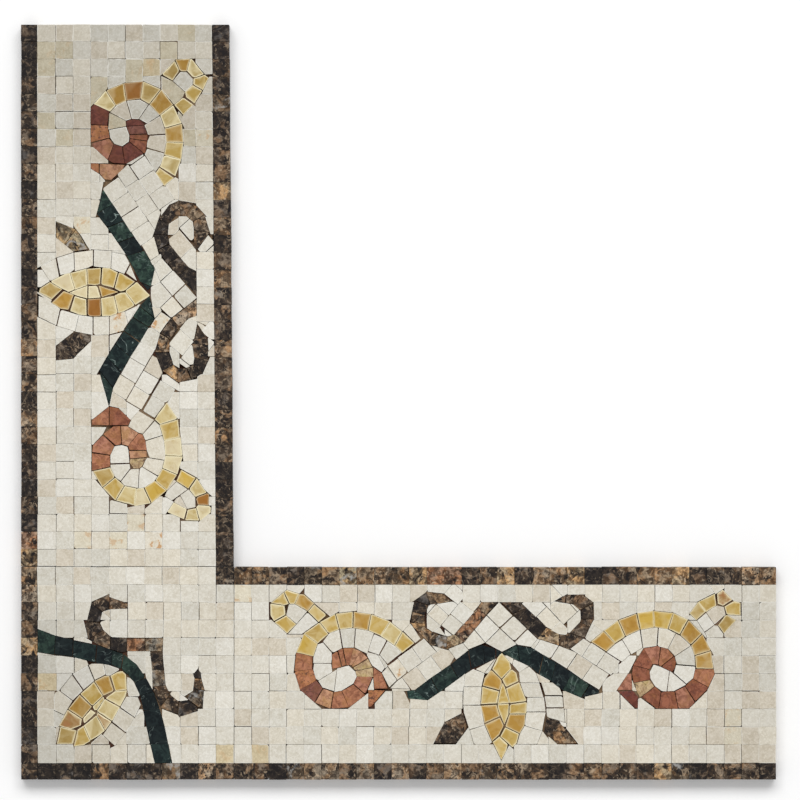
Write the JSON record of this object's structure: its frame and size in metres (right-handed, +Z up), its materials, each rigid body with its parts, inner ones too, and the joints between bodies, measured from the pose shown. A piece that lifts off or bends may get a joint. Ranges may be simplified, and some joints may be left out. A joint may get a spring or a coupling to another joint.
{
  "type": "marble mosaic border tile set",
  "caption": "Flat marble mosaic border with its corner piece: scrolls, leaves and hooks cut from coloured stone on mesh-backed sheets.",
  "frame": {"origin": "middle of the square outline of the L, on the underside of the backing", "axes": "+Z up out of the face of the stones, +X along the level border away from the corner, +Y along the upright border away from the corner"},
  "size_m": [0.4247, 0.4246, 0.0101],
  "materials": {
    "net": "open weave with clear resin",
    "brown_marble": "honed",
    "cream_marble": "honed",
    "green_marble": "polished",
    "honey_onyx": "polished",
    "red_marble": "honed"
  },
  "bodies": {
    "root": {"corner_backing": "net", "corner_brown_hooks": "brown_marble", "corner_cream_field": "cream_marble", "corner_cream_rows": "cream_marble", "corner_edge_strips": "brown_marble", "corner_green_stem": "green_marble", "corner_onyx_leaf": "honey_onyx", "level_backing": "net", "level_brown_hooks": "brown_marble", "level_brown_leaflets": "brown_marble", "level_cream_field": "cream_marble", "level_cream_rows": "cream_marble", "level_edge_strips": "brown_marble", "level_green_stems": "green_marble", "level_onyx_leaf": "honey_onyx", "level_onyx_scrolls": "honey_onyx", "level_red_scrolls": "red_marble", "upright_backing": "net", "upright_brown_hooks": "brown_marble", "upright_brown_leaflets": "brown_marble", "upright_cream_field": "cream_marble", "upright_cream_rows": "cream_marble", "upright_edge_strips": "brown_marble", "upright_green_stems": "green_marble", "upright_onyx_leaf": "honey_onyx", "upright_onyx_scrolls": "honey_onyx", "upright_red_scrolls": "red_marble"}
  },
  "joints": []
}
